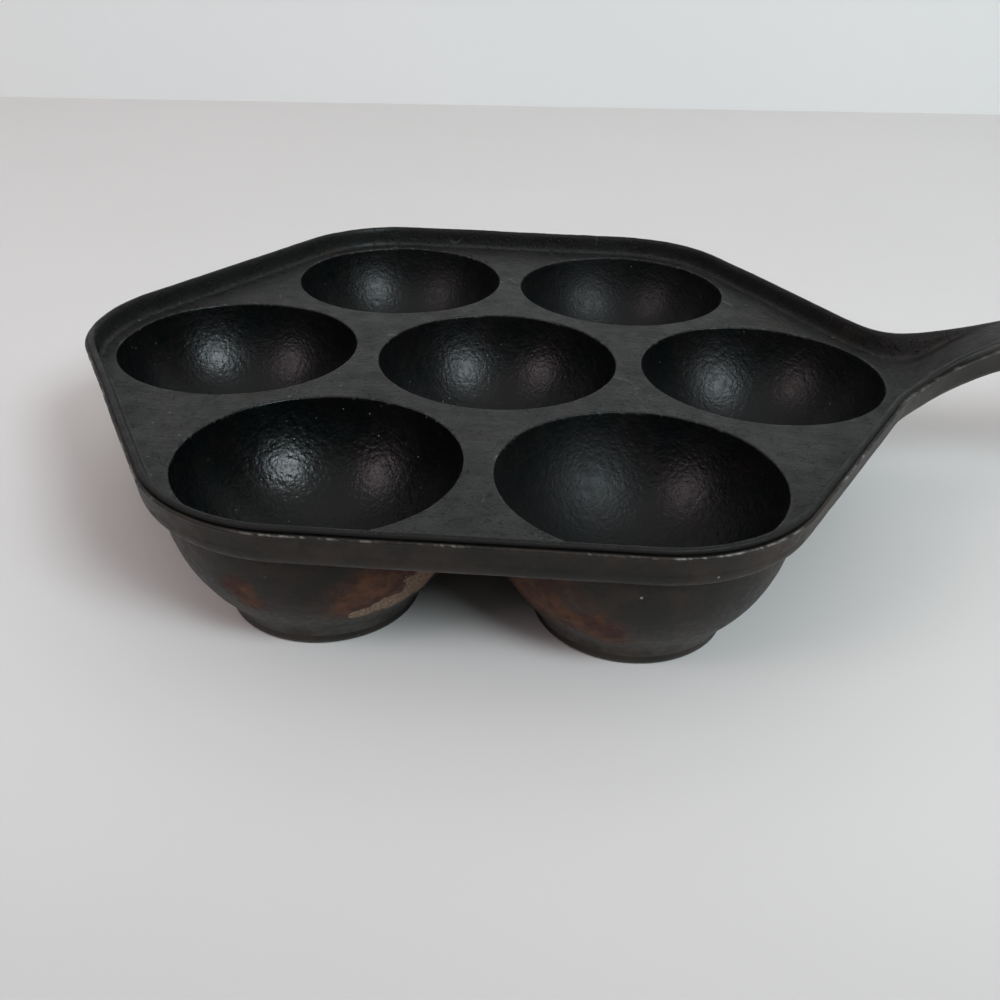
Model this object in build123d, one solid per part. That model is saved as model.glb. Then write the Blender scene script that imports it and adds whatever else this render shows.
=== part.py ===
from build123d import *
import os
from math import asin, atan, cos, degrees, radians, sin, tan

# Aebleskiver pan: one iron casting with seven round-bottomed cups hung from a hexagonal deck.
# Millimetres. X runs along the handle, Z is up, and the origin is the middle of the centre cup's
# foot, on the surface that the pan stands on.

# Cups
ring_cups = 6
mouth_radius = 28.6
web_between_mouths = 6.3
wall_at_mouth = 2.1
floor_thickness = 4.8
mouth_chamfer = 0.4
belly_drop = 3.75

# Feet under the cups
foot_radius = 19.2
foot_round = 0.6
foot_taper = 0.2
foot_height = 4.5
foot_pad = 2.4

# Deck
deck_height = 31.0
deck_thickness = 3.0
land_beside_mouth = 2.4
deck_edge_round = 2.4

# Raised rim, from its crease with the deck out to the proud parting ledge
rim_height = 5.3
crease_width = 1.4
crease_height = 2.6
bead_width = 2.0
bead_round = 0.8
groove_below_top = 1.0
groove_depth = 0.3
ledge_width = 0.6
ledge_below_groove = 0.5
wall_draft = 9.5

# Handle in plan, measured at the parting ledge
handle_reach = 155.0
shoulder_radius = 37.0
neck_width = 13.0
end_width = 29.0
root_length = 32.0
eye_length = 34.0

# Handle from the side, along the parting line
crest_above_parting = 1.0
grip_above_parting = 1.8
grip_below_parting = 7.0
lift_beyond_side = 1.5
lift_radius = 25.0
lift_length = 20.5
steep_slope = 0.35
ease_radius = 260.0
end_slope = 0.12
top_edge_round = 1.2
bottom_edge_round = 3.0
underside_beyond_side = 1.2

# Ramp from the deck up into the handle
land_before_ramp = 1.4
ramp_radius = 12.0
ramp_slope = 0.85

# Hanging hole
hole_radius = 5.5
hole_edge_round = 0.8

# Worked out from the sizes above
cup_spacing = 2 * mouth_radius + web_between_mouths
belly_radius = mouth_radius + wall_at_mouth
half_corner = 180 / ring_cups
ring_apothem = cup_spacing * cos(radians(half_corner))
crease_apothem = ring_apothem + mouth_radius + land_beside_mouth
bead_apothem = crease_apothem + crease_width
groove_apothem = bead_apothem + bead_width
ledge_apothem = groove_apothem + ledge_width
groove_height = rim_height - groove_below_top
ledge_height = groove_height - ledge_below_groove
deck_apothem = ledge_apothem - ledge_height * tan(radians(wall_draft))
parting_height = deck_height + groove_height
handle_end = ledge_apothem + handle_reach
end_radius = end_width / 2
steep_angle = atan(steep_slope)
end_angle = atan(end_slope)


def flat(length, angle):
    """A level vector of this length, at this angle in degrees from the X axis."""
    return Vector(length * cos(radians(angle)), length * sin(radians(angle)))


def cup_places():
    """The middle of each cup, by name."""
    places = {"centre": Vector(0, 0)}
    ring = ["right", "back_right", "back_left", "left", "front_left", "front_right"]
    for i, name in enumerate(ring):
        places[name] = flat(cup_spacing, 2 * half_corner * i)
    return places


# Cups and feet


def foot_flank(height):
    """The foot's radius at a height above the table."""
    return foot_radius + foot_round + (height - foot_round) * foot_taper


def cup():
    """One cup with its wall and floor, from the deck's top down to its foot pad."""
    wall_top = (mouth_radius, deck_height - mouth_chamfer)
    depth = deck_height - mouth_chamfer - floor_thickness
    inner = (mouth_radius**2 + depth**2) / (2 * depth)
    half = asin(mouth_radius / inner) / 2
    on_arc = (inner * sin(half), floor_thickness + inner * (1 - cos(half)))
    belly = (belly_radius, deck_height - belly_drop)
    foot_top = (foot_flank(foot_height), foot_height)
    with BuildPart() as made:
        with BuildSketch(Plane.XZ):
            with BuildLine():
                ThreePointArc((0, floor_thickness), on_arc, wall_top)
                Line(wall_top, (mouth_radius + mouth_chamfer, deck_height))
                Line((mouth_radius + mouth_chamfer, deck_height), (belly_radius, deck_height))
                Line((belly_radius, deck_height), belly)
                TangentArc(belly, foot_top, tangent=(0, -1))
                Line(foot_top, (foot_flank(foot_pad), foot_pad))
                Line((foot_flank(foot_pad), foot_pad), (0, foot_pad))
                Line((0, foot_pad), (0, floor_thickness))
            make_face()
        revolve(axis=Axis.Z)
    return made.part


def foot():
    """The flat pad that one cup stands on."""
    with BuildPart() as made:
        with BuildSketch(Plane.XZ):
            with BuildLine():
                Line((0, foot_pad), (0, 0))
                Line((0, 0), (foot_radius, 0))
                Line((foot_radius, 0), (foot_flank(foot_round), foot_round))
                Line((foot_flank(foot_round), foot_round), (foot_flank(foot_pad), foot_pad))
                Line((foot_flank(foot_pad), foot_pad), (0, foot_pad))
            make_face()
        revolve(axis=Axis.Z)
    return made.part


# Deck


def deck_plate():
    """The flat hexagonal deck, its corners concentric with the cups and a hole for each cup."""
    outline = RegularPolygon(deck_apothem, ring_cups, major_radius=False)
    outline = Pos(0, 0, deck_height) * fillet(outline.vertices(), deck_apothem - ring_apothem)
    plate = extrude(outline, deck_thickness, dir=(0, 0, -1), taper=wall_draft)
    plate = fillet(plate.faces().sort_by(Axis.Z)[0].edges(), deck_edge_round)
    for place in cup_places().values():
        plate -= Pos(place.X, place.Y, deck_height) * Cylinder(belly_radius, 3 * deck_thickness)
    return plate


# Rim


def rim_section(plane, shift):
    """The rim's section: crease fillet, bead, parting groove, ledge and outer wall."""
    crease = (crease_apothem - shift, 0)
    bead_foot = (bead_apothem - shift, crease_height)
    bead_in = (bead_apothem + groove_depth - shift, rim_height - bead_round)
    bead_top = ((bead_apothem + groove_apothem) / 2 - shift, rim_height)
    bead_out = (groove_apothem - shift, groove_height + groove_depth)
    groove = (groove_apothem - groove_depth - shift, groove_height)
    ledge_top = (ledge_apothem - groove_depth - shift, groove_height)
    ledge = (ledge_apothem - shift, ledge_height)
    wall_foot = (deck_apothem - shift, 0)
    with BuildSketch(plane) as made:
        with BuildLine():
            TangentArc(bead_foot, crease, tangent=(-0.1, -1))
            Line(bead_foot, bead_in)
            ThreePointArc(bead_in, bead_top, bead_out)
            Polyline(bead_out, groove, ledge_top, ledge, wall_foot, crease)
        make_face()
    return made.sketch


def shoulder_start():
    """Where the handle's shoulder leaves a side, measured along the side from its middle."""
    meet_y = neck_width / 2 + shoulder_radius * (1 - cos(radians(2 * half_corner)))
    return (meet_y - ledge_apothem * sin(radians(half_corner))) / cos(radians(half_corner))


def shoulder_meets():
    """Where the handle's outline leaves the rim's ledge."""
    return flat(ledge_apothem, half_corner) + flat(1, half_corner + 90) * shoulder_start()


def rim_side(normal, low, high):
    """A straight run of the rim between two places along a side."""
    along = flat(1, normal + 90)
    start = along * high + Vector(0, 0, deck_height)
    section = rim_section(Plane(start, x_dir=flat(1, normal), z_dir=-along), 0)
    return extrude(section, high - low, dir=-along)


def rim_corner(angle):
    """The rim's turn round one corner, about the cup beside it."""
    centre = flat(cup_spacing, angle) + Vector(0, 0, deck_height)
    normal = angle - half_corner
    plane = Plane(centre, x_dir=flat(1, normal), z_dir=-flat(1, normal + 90))
    return revolve(rim_section(plane, ring_apothem), Axis(centre, (0, 0, 1)), 2 * half_corner)


def rim():
    """The raised rim, open at the corner that the handle leaves."""
    half_side = cup_spacing / 2
    pieces = []
    for i in range(ring_cups):
        low = shoulder_start() if i == 0 else -half_side
        high = -shoulder_start() if i == ring_cups - 1 else half_side
        pieces.append(rim_side(half_corner * (2 * i + 1), low, high))
    for i in range(1, ring_cups):
        pieces.append(rim_corner(2 * half_corner * i))
    return pieces[0].fuse(*pieces[1:]).clean()


# Handle


def handle_plan(inset):
    """The handle's outline in plan, drawn in from its ledge by inset."""
    centre = shoulder_meets() + flat(shoulder_radius, half_corner)
    end = Vector(handle_end - end_radius, 0)
    across = end - centre
    lean = degrees(asin((shoulder_radius + end_radius) / across.length) + atan(across.Y / across.X))
    first = half_corner - 180
    last = lean - 90
    shoulder = shoulder_radius + inset
    tip = end_radius - inset
    meet = centre + flat(shoulder, first)
    inner = shoulder_meets() - flat(ledge_apothem - crease_apothem, half_corner)
    with BuildSketch() as made:
        with BuildLine():
            Line(inner, meet)
            ThreePointArc(meet, centre + flat(shoulder, (first + last) / 2), centre + flat(shoulder, last))
            Line(centre + flat(shoulder, last), end + flat(tip, lean + 90))
            ThreePointArc(end + flat(tip, lean + 90), end + flat(tip, (lean + 90) / 2), end + flat(tip, 0))
            mirror(about=Plane.XZ)
            Line(inner, Vector(inner.X, -inner.Y))
        make_face()
    return made.sketch


def ease_centre():
    """The centre, seen from the side, of the long arc that levels the handle out."""
    lifted = lift_radius * (1 - cos(steep_angle))
    climbed = (lift_length - lift_radius * sin(steep_angle)) * steep_slope
    begin = Vector(ledge_apothem + lift_beyond_side + lift_length, parting_height + lifted + climbed)
    return begin + Vector(sin(steep_angle), -cos(steep_angle)) * ease_radius


def handle_side(offset, early):
    """Draws a curve parallel to the parting line, offset above it, that lifts off early."""
    lift = Vector(ledge_apothem + lift_beyond_side - early, parting_height + lift_radius)
    lift_reach = lift_radius - offset
    ease = ease_centre()
    ease_reach = ease_radius + offset + early * sin(steep_angle)
    middle = (steep_angle + end_angle) / 2
    begin = Vector(0, parting_height + offset)
    lifting = Vector(lift.X, parting_height + offset)
    lift_middle = lift + Vector(sin(steep_angle / 2), -cos(steep_angle / 2)) * lift_reach
    steep = lift + Vector(sin(steep_angle), -cos(steep_angle)) * lift_reach
    ease_from = ease + Vector(-sin(steep_angle), cos(steep_angle)) * ease_reach
    ease_middle = ease + Vector(-sin(middle), cos(middle)) * ease_reach
    ease_to = ease + Vector(-sin(end_angle), cos(end_angle)) * ease_reach
    finish = ease_to + Vector(cos(end_angle), sin(end_angle)) * handle_reach
    Line(begin, lifting)
    ThreePointArc(lifting, lift_middle, steep)
    Line(steep, ease_from)
    ThreePointArc(ease_from, ease_middle, ease_to)
    Line(ease_to, finish)
    return begin, finish


def handle_band():
    """The handle's side view, pulled across the pan."""
    early = (grip_above_parting - crest_above_parting) / sin(steep_angle)
    with BuildPart() as made:
        with BuildSketch(Plane.XZ):
            with BuildLine():
                top = handle_side(crest_above_parting, early)
                bottom = handle_side(-grip_below_parting, 0)
                Line(top[0], bottom[0])
                Line(top[1], bottom[1])
            make_face()
        extrude(amount=ledge_apothem, both=True)
    return made.part


def trough():
    """The space over the ramp, between the two edges that run from the rim into the handle."""
    slope = atan(ramp_slope)
    start = Vector(cup_spacing + mouth_radius + land_before_ramp, deck_height)
    middle = start + Vector(sin(slope / 2), 1 - cos(slope / 2)) * ramp_radius
    climb = start + Vector(sin(slope), 1 - cos(slope)) * ramp_radius
    top = climb + Vector(cos(slope), sin(slope)) * handle_reach
    with BuildPart() as made:
        with BuildSketch(Plane.XZ):
            with BuildLine():
                Line(Vector(0, deck_height), start)
                ThreePointArc(start, middle, climb)
                Polyline(climb, top, Vector(0, top.Y), Vector(0, deck_height))
            make_face()
        extrude(amount=ledge_apothem, both=True)
    return made.part & extrude(handle_plan(ledge_apothem - bead_apothem), top.Y)


def hanging_hole():
    """The hole's bore with its eased edges, square to the handle's end."""
    end_x = handle_end - end_radius
    level_from = ease_centre() + Vector(-sin(end_angle), cos(end_angle)) * ease_radius
    on_parting = Vector(end_x, 0, level_from.Y + (end_x - level_from.X) * end_slope)
    square = Vector(-sin(end_angle), 0, cos(end_angle))
    half = (grip_above_parting + grip_below_parting) / 2
    middle = on_parting + square * (grip_above_parting - half)
    print("hanging hole: centre", middle, "axis", square, "wall", 2 * (half - hole_edge_round))
    wide = hole_radius + 2 * hole_edge_round
    shape = Cylinder(hole_radius, 4 * half)
    shape += Pos(0, 0, half) * Cone(hole_radius, wide, 2 * hole_edge_round)
    shape += Pos(0, 0, -half) * Cone(wide, hole_radius, 2 * hole_edge_round)
    return Plane(middle, x_dir=(0, 1, 0), z_dir=square).location * shape


def outer_edges(body, up):
    """The edges where the handle's upright sides meet its top, or its underside if up is -1."""
    upright = body.faces().filter_by(lambda face: abs(face.normal_at().Z) < 0.001)
    sides = upright.filter_by(lambda face: face.center().X > shoulder_meets().X)
    level = body.faces().filter_by(lambda face: face.normal_at().Z * up > 0.5)
    return ShapeList([e for e in sides.edges() if any(e.is_same(o) for o in level.edges())])


def slab(low_x, high_x, low_z, high_z):
    """A block right across the pan, to cut or keep a length of the handle."""
    size = Vector(high_x - low_x, 2 * ledge_apothem, high_z - low_z)
    return Pos((low_x + high_x) / 2, 0, (low_z + high_z) / 2) * Box(size.X, size.Y, size.Z)


def handle(deck):
    """The handle's three lengths, fitted to the deck and to the cup beside it."""
    body = extrude(handle_plan(0), 2 * handle_reach) & handle_band()
    body = fillet(outer_edges(body, -1), bottom_edge_round)
    body = fillet(outer_edges(body, 1), top_edge_round)
    body -= trough()
    body -= slab(0, ledge_apothem + underside_beyond_side, 0, deck_height)
    body -= Pos(cup_spacing, 0, 0) * Cylinder(belly_radius, 2 * deck_height)
    body -= deck
    body -= hanging_hole()
    grip_x = ledge_apothem + root_length
    eye_x = handle_end - eye_length
    top = 2 * handle_reach
    return {
        "handle_root": body & slab(0, grip_x, 0, top),
        "handle_grip": body & slab(grip_x, eye_x, 0, top),
        "handle_eye": body & slab(eye_x, handle_end + end_radius, 0, top),
    }


parts = {"deck_plate": deck_plate(), "rim": rim()}
parts.update(handle(parts["deck_plate"]))
for name, place in cup_places().items():
    parts["cup_" + name] = Pos(place.X, place.Y, 0) * cup()
    parts["foot_" + name] = Pos(place.X, place.Y, 0) * foot()

os.makedirs("parts", exist_ok=True)
for name, shape in parts.items():
    export_step(shape, f"parts/{name}.step")
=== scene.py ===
from math import asin, atan, cos, degrees, pi, radians, sin, tan

import bpy
import bmesh
import numpy as np
from mathutils import Matrix, Vector
from mathutils.geometry import delaunay_2d_cdt


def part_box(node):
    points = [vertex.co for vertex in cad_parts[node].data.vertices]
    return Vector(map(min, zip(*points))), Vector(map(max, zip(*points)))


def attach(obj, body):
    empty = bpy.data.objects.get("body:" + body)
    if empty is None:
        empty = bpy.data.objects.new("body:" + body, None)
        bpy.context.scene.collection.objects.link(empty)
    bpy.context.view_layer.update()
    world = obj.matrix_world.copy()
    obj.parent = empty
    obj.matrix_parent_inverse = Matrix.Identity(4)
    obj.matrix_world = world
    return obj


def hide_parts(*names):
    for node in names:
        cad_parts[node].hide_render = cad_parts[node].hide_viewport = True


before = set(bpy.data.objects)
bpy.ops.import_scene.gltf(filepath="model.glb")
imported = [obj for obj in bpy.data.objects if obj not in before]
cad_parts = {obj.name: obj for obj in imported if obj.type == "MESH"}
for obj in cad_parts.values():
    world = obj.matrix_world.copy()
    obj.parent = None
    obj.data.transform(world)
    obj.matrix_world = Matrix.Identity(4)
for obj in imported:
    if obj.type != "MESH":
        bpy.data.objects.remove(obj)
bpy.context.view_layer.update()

# Shapes are worked out in millimetres, in the frame's own axes, and become metres in make_piece
TO_METRES = 0.001


def corners(node):
    """A node's lowest and highest corner, in millimetres."""
    low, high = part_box(node)
    return np.array(low) / TO_METRES, np.array(high) / TO_METRES


# Sizes read from the frame
RING = ["right", "back_right", "back_left", "left", "front_left", "front_right"]
CUPS = ["centre"] + RING
middles = {name: sum(corners("cup_" + name))[:2] / 2 for name in CUPS}
cup_spacing = middles["right"][0]
ring_apothem = middles["back_right"][1]
belly_radius = cup_spacing - corners("cup_right")[0][0]
deck_bottom = corners("deck_plate")[0][2]
deck_top = corners("deck_plate")[1][2]
deck_apothem = corners("deck_plate")[1][1]
ledge_apothem = corners("rim")[1][1]
foot_joint = corners("foot_centre")[1][2]
foot_joint_radius = corners("foot_centre")[1][0]
handle_end = corners("handle_eye")[1][0]
grip_start = corners("handle_grip")[0][0]
eye_start = corners("handle_eye")[0][0]

# Cups
mouth_radius = 28.6
mouth_drop = 0.4
cup_floor = 4.8
arris_radius = 0.42
fillet_under_deck = 1.0
belly_top = deck_top - 3.75
foot_top = (20.58, 4.5)
foot_side = (20.34, 3.2)
foot_radius = 19.2

# Rim and deck edge; insets are measured inwards from the ledge
rim_rise = 5.3
parting_rise = 4.3
wall_draft = radians(9.5)
deck_round = 2.4
crease_inset = 4.0
crest_inset = 1.6
sunk_edge = 0.04

# Handle
shoulder_radius = 37.0
neck_half = 6.5
end_radius = 14.5
crest_at_rim = 1.0
crest_at_grip = 1.8
grip_depth = 7.0
flank_depth = 4.0
lift_start = ledge_apothem + 1.5
lift_radius = 25.0
lift_end = lift_start + 20.5
steep = atan(0.35)
ease_radius = 260.0
shallow = atan(0.12)
ramp_start = cup_spacing + mouth_radius + 1.4
ramp_radius = 12.0
ramp_angle = atan(0.85)
ramp_blend = 2.8
hole_radius = 5.5
hole_ease = 0.8

# Mesh spacing, and the angle above which an edge is sharp
CUP_SEGMENTS = 480
HOLE_SEGMENTS = 96
RIM_STEP = 0.5
DECK_STEP = 0.55
UNDERSIDE_STEP = 1.6
SHARP_ANGLE = radians(50)
cup_angles = np.arange(CUP_SEGMENTS) * 2 * pi / CUP_SEGMENTS
cup_directions = np.stack([np.cos(cup_angles), np.sin(cup_angles)], 1)

# Places on the casting: its worn corner, a dirty pit where the rim meets the left cup, and a black patch
WORN_CORNER = (-97.0, 6.0, deck_top + 3)
PIT_PLACE = (-92.3, -12.6, deck_top + 0.6)
BLACKENED_BELLY = (-28.0, -87.5, 21.0)


# Small maths


def ease(value, low, high):
    """0 below low, 1 above high, and a smooth rise between them."""
    t = np.clip((np.asarray(value, float) - low) / (high - low), 0, 1)
    return t * t * (3 - 2 * t)


def soft_min(a, b, width):
    """The lower of two heights, with their meeting rounded over a width."""
    h = np.clip(0.5 + 0.5 * (b - a) / width, 0, 1)
    return b + (a - b) * h - width * h * (1 - h)


def level(angle):
    """A level unit vector at an angle in radians from X."""
    return np.array([cos(angle), sin(angle)])


def lattice(cell, seed):
    """A repeatable vector for each whole-number cell."""
    mask = 0xFFFFFFFF
    mixed = cell[:, 0] * 73856093 ^ cell[:, 1] * 19349663 ^ cell[:, 2] * 83492791 ^ seed * 2654435
    mixed = mixed & mask
    mixed = ((mixed ^ (mixed >> 13)) * 1274126177) & mask
    mixed = ((mixed ^ (mixed >> 16)) * 2246822519) & mask
    mixed = mixed ^ (mixed >> 15)
    return np.stack([mixed & 1023, (mixed >> 10) & 1023, (mixed >> 20) & 1023], 1) / 511.5 - 1


def noise(points, size, seed):
    """Smooth noise from about -1 to 1 with features of a size, in millimetres."""
    scaled = np.asarray(points, float) / size
    cell = np.floor(scaled).astype(np.int64)
    part = scaled - cell
    fade = part * part * part * (part * (part * 6 - 15) + 10)
    total = np.zeros(len(scaled))
    for i in range(8):
        step = np.array([i & 1, (i >> 1) & 1, (i >> 2) & 1])
        weight = np.prod(np.where(step, fade, 1 - fade), 1)
        total += weight * np.sum(lattice(cell + step, seed) * (part - step), 1)
    return total * 1.4


def near(points, place, reach):
    """1 at a place, falling smoothly to 0 at a distance of reach."""
    return 1 - ease(np.linalg.norm(points - np.array(place), axis=1), 0, reach)


def near_line(points, start, end, reach):
    """1 on a line, falling smoothly to 0 at a distance of reach."""
    a, b = np.array(start, float), np.array(end, float)
    t = np.clip((points - a) @ (b - a) / ((b - a) @ (b - a)), 0, 1)
    return 1 - ease(np.linalg.norm(points - a - t[:, None] * (b - a), axis=1), 0, reach)


# Surface of the casting: each finish has its own grain, in millimetres along the normal


def bowl_grain(p):
    """Pebbly cast skin inside the cups, with a few larger bumps."""
    pebbles = 0.024 * noise(p, 1.5, 1) + 0.024 * noise(p, 0.9, 2)
    return pebbles + 0.035 * noise(p, 6.0, 3) + 0.05 * ease(noise(p, 1.8, 12), 0.25, 0.8)


def deck_grain(p):
    """Faint dressing marks along X, and patches of small pits."""
    along = p * np.array([0.12, 1.0, 1.0])
    pits = ease(noise(p, 1.2, 4), 0.3, 0.65) * ease(noise(p, 16.0, 5), -0.35, 0.4)
    return 0.022 * noise(along, 0.9, 6) + 0.02 * noise(p, 2.2, 7) + 0.03 * noise(p, 7.0, 8) - 0.13 * pits


def skin_grain(p):
    """Sand-cast skin on the outside."""
    return 0.028 * noise(p, 1.5, 9) + 0.045 * noise(p, 4.5, 10) + 0.05 * noise(p, 12.0, 11)


def warp(p):
    """The whole casting is slightly out of true; its feet stay on the surface below."""
    moved = np.stack([noise(p, 34.0, 20 + i) * 0.16 + noise(p, 15.0, 30 + i) * 0.07 for i in range(3)], 1)
    moved[:, 2] *= ease(p[:, 2], 0.0, 4.0)
    moved[:, 0] += near(p, WORN_CORNER, 16.0) * 0.45
    return moved


# Meshes


def numbered(rows, columns, first=0):
    """Point numbers laid out row by row."""
    return np.arange(rows * columns).reshape(rows, columns) + first


def open_quads(rows):
    """Quads between rows of point numbers."""
    return np.stack([rows[:-1, :-1], rows[1:, :-1], rows[1:, 1:], rows[:-1, 1:]], -1)


def ring_quads(rows):
    """Quads between closed rows of point numbers."""
    after = np.roll(rows, -1, axis=1)
    return np.stack([rows[:-1], after[:-1], after[1:], rows[1:]], -1).reshape(-1, 4).tolist()


def placed(flat, height):
    """Level places or directions and their heights, as rows of x, y and z."""
    return np.concatenate([flat, np.broadcast_to(height, flat[..., :1].shape)], -1).reshape(-1, 3)


def section_normals(line):
    """Unit normals of an open line in its own plane, to the left of its direction."""
    along = np.gradient(np.asarray(line, float), axis=0)
    across = np.stack([-along[:, 1], along[:, 0]], 1)
    return across / np.linalg.norm(across, axis=1, keepdims=True)


def linked(name, data):
    """An object in the scene that holds a mesh, a lamp or a camera."""
    made = bpy.data.objects.new(name, data)
    bpy.context.scene.collection.objects.link(made)
    return made


def make_piece(name, points, faces, finishes, finish_of_face, marks, nodes):
    """A closed, smooth-shaded mesh that stands for CAD nodes and rides on the root body."""
    mesh = bpy.data.meshes.new(name)
    mesh.from_pydata((points * TO_METRES).tolist(), [], faces)
    for finish in finishes:
        mesh.materials.append(finish)
    mesh.polygons.foreach_set("material_index", np.asarray(finish_of_face, np.int32))
    mesh.polygons.foreach_set("use_smooth", np.ones(len(faces), bool))
    for mark, values in marks.items():
        mesh.attributes.new(mark, "FLOAT", "POINT").data.foreach_set("value", values.astype(np.float32))
    tidy_mesh(mesh)
    piece = linked(name, mesh)
    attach(piece, "root")
    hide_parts(*nodes)
    return piece


def tidy_mesh(mesh, reach=0.0):
    """Joins points within a reach in millimetres, turns faces outwards and keeps true corners sharp."""
    work = bmesh.new()
    work.from_mesh(mesh)
    if reach:
        bmesh.ops.remove_doubles(work, verts=work.verts, dist=reach * TO_METRES)
    bmesh.ops.recalc_face_normals(work, faces=work.faces)
    work.to_mesh(mesh)
    work.free()
    mesh.set_sharp_from_angle(angle=SHARP_ANGLE)


# Marks from 0 to 1: rust, crust, soot and painted shade, wear and painted highlight, painted groove shade,
# dirt

RUST_SPOTS = [
    ((-41.4, -83.0, 18.5), 3.3), ((-39.8, -83.2, 14.5), 3.1), ((-15.0, -80.0, 19.5), 6.5),
    ((-20.0, -82.0, 15.5), 6.0), ((-12.0, -75.0, 22.0), 7.0), ((9.5, -75.0, 21.0), 8.0),
    ((14.5, -79.0, 18.5), 7.5), ((20.0, -80.7, 14.8), 6.0), ((25.5, -81.0, 12.0), 5.0),
    ((4.0, -69.0, 24.0), 11.0), ((7.5, -72.0, 14.0), 10.0), ((68.0, 28.0, 16.0), 9.0),
    ((-76.0, 22.0, 14.0), 10.0), ((20.0, 78.0, 18.0), 10.0), ((-44.0, 76.0, 12.0), 9.0),
    ((84.0, -16.0, 14.0), 8.0), ((-88.0, -14.0, 18.0), 7.0),
]
CRUST_LINE = [
    (-4.2, -62.5, 21.5), (-6.5, -68.0, 20.5), (-9.6, -71.7, 15.5), (-12.3, -73.8, 12.5), (-15.6, -76.3, 11.8),
    (-20.4, -78.5, 11.0),
]
CRUST_WIDTHS = [10.5, 9.5, 4.6, 5.0, 3.0]


def rust_marks(p):
    """Where thin orange rust lies on the outside."""
    ragged = 0.5 + 0.9 * noise(p, 7.0, 40) + 0.5 * noise(p, 2.4, 41)
    found = np.zeros(len(p))
    for place, reach in RUST_SPOTS:
        found = np.maximum(found, near(p, place, reach * 1.5))
    return np.clip(found * 2.2 * np.clip(ragged + 0.45, 0, 1), 0, 1)


def soot_marks(p):
    """Painted shade under the pan's middle between the cups, and black soot on the front left cup's belly."""
    from_middle = np.linalg.norm(p[:, :2], axis=1)
    below_deck = 1 - ease(p[:, 2], deck_bottom, deck_bottom + 0.5)
    return np.maximum(1 - ease(from_middle, 54, 78), 0.45 * near(p, BLACKENED_BELLY, 15.0)) * below_deck


def crust_marks(p):
    """The tan crust that ran down the front left cup."""
    found = np.zeros(len(p))
    for start, end, width in zip(CRUST_LINE, CRUST_LINE[1:], CRUST_WIDTHS):
        found = np.maximum(found, near_line(p, start, end, width))
    return ease(found + 0.14 * noise(p, 1.8, 42) + 0.3 * noise(p, 5.0, 43), 0.24, 0.62)


def stains(p, outside=1.0):
    """The marks of rust and crust, which lie on the outside only, and of soot with painted shade."""
    return {"rust": rust_marks(p) * outside, "crust": crust_marks(p) * outside, "soot": soot_marks(p)}


# How dull each cup's seasoning is on its left and its right, from the photograph
DULLNESS = {
    "centre": (0.42, 0.2), "right": (0.53, 0.5), "back_right": (1.02, 0.65), "back_left": (0.52, 0.75),
    "left": (0.15, 0.33), "front_left": (0.0, 0.17), "front_right": (1.15, 0.42),
}


# Cups and feet


# Which part of a turned line's normal is positive: the one away from the axis, or the upright one
OUT, UP = 0, 1


def turned(line, middle, facing):
    """A line of (radius, height) turned about a cup's axis: its points, and normals facing OUT or UP."""
    across = section_normals(line)[:, None]
    across = across * np.sign(across[..., facing, None] + 1e-9)
    line = np.array(line)[:, None]
    points = placed(middle + line[..., :1] * cup_directions, line[..., 1:])
    return points, placed(across[..., :1] * cup_directions, across[..., 1:])


def bowl_line():
    """The cup's inside from its middle to the mouth, the rounded arris, and the top out to the deck."""
    depth = deck_top - mouth_drop - cup_floor
    inner = (mouth_radius**2 + depth**2) / (2 * depth)
    widest = asin(mouth_radius / inner)
    angles = np.linspace(0.012, widest - 0.012, 118)
    bowl = [(inner * sin(a), cup_floor + inner * (1 - cos(a))) for a in angles]
    centre = (mouth_radius + arris_radius, deck_top - arris_radius)
    turn = np.radians([4, 20, 36, 52, 68, 84])
    arris = [(centre[0] - arris_radius * cos(a), centre[1] + arris_radius * sin(a)) for a in turn]
    top = [(r, deck_top) for r in (29.3, 29.7, 30.2, belly_radius)]
    return bowl + arris + top, len(bowl), len(arris)


def belly_line():
    """The cup's outside: a fillet under the deck, the round belly, and a hollow to the foot's side."""
    turn = np.radians(np.linspace(0, 90, 7))
    r = fillet_under_deck
    fillet = [(belly_radius + r - r * sin(a), deck_bottom - r + r * cos(a)) for a in turn]
    drop = belly_top - foot_top[1]
    inwards = belly_radius - foot_top[0]
    radius = (inwards**2 + drop**2) / (2 * inwards)
    turn = np.linspace(0.03, asin(drop / radius) - 0.05, 46)
    belly = [(belly_radius - radius + radius * cos(a), belly_top - radius * sin(a)) for a in turn]
    start, kink, end = (np.array(place) for place in (belly[-1], foot_top, foot_side))
    hollow = [start * (1 - t) ** 2 + 2 * t * (1 - t) * kink + end * t * t for t in (0.2, 0.4, 0.6, 0.8, 1.0)]
    return fillet + belly + [tuple(q) for q in hollow] + [(foot_joint_radius, foot_joint)]


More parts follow.
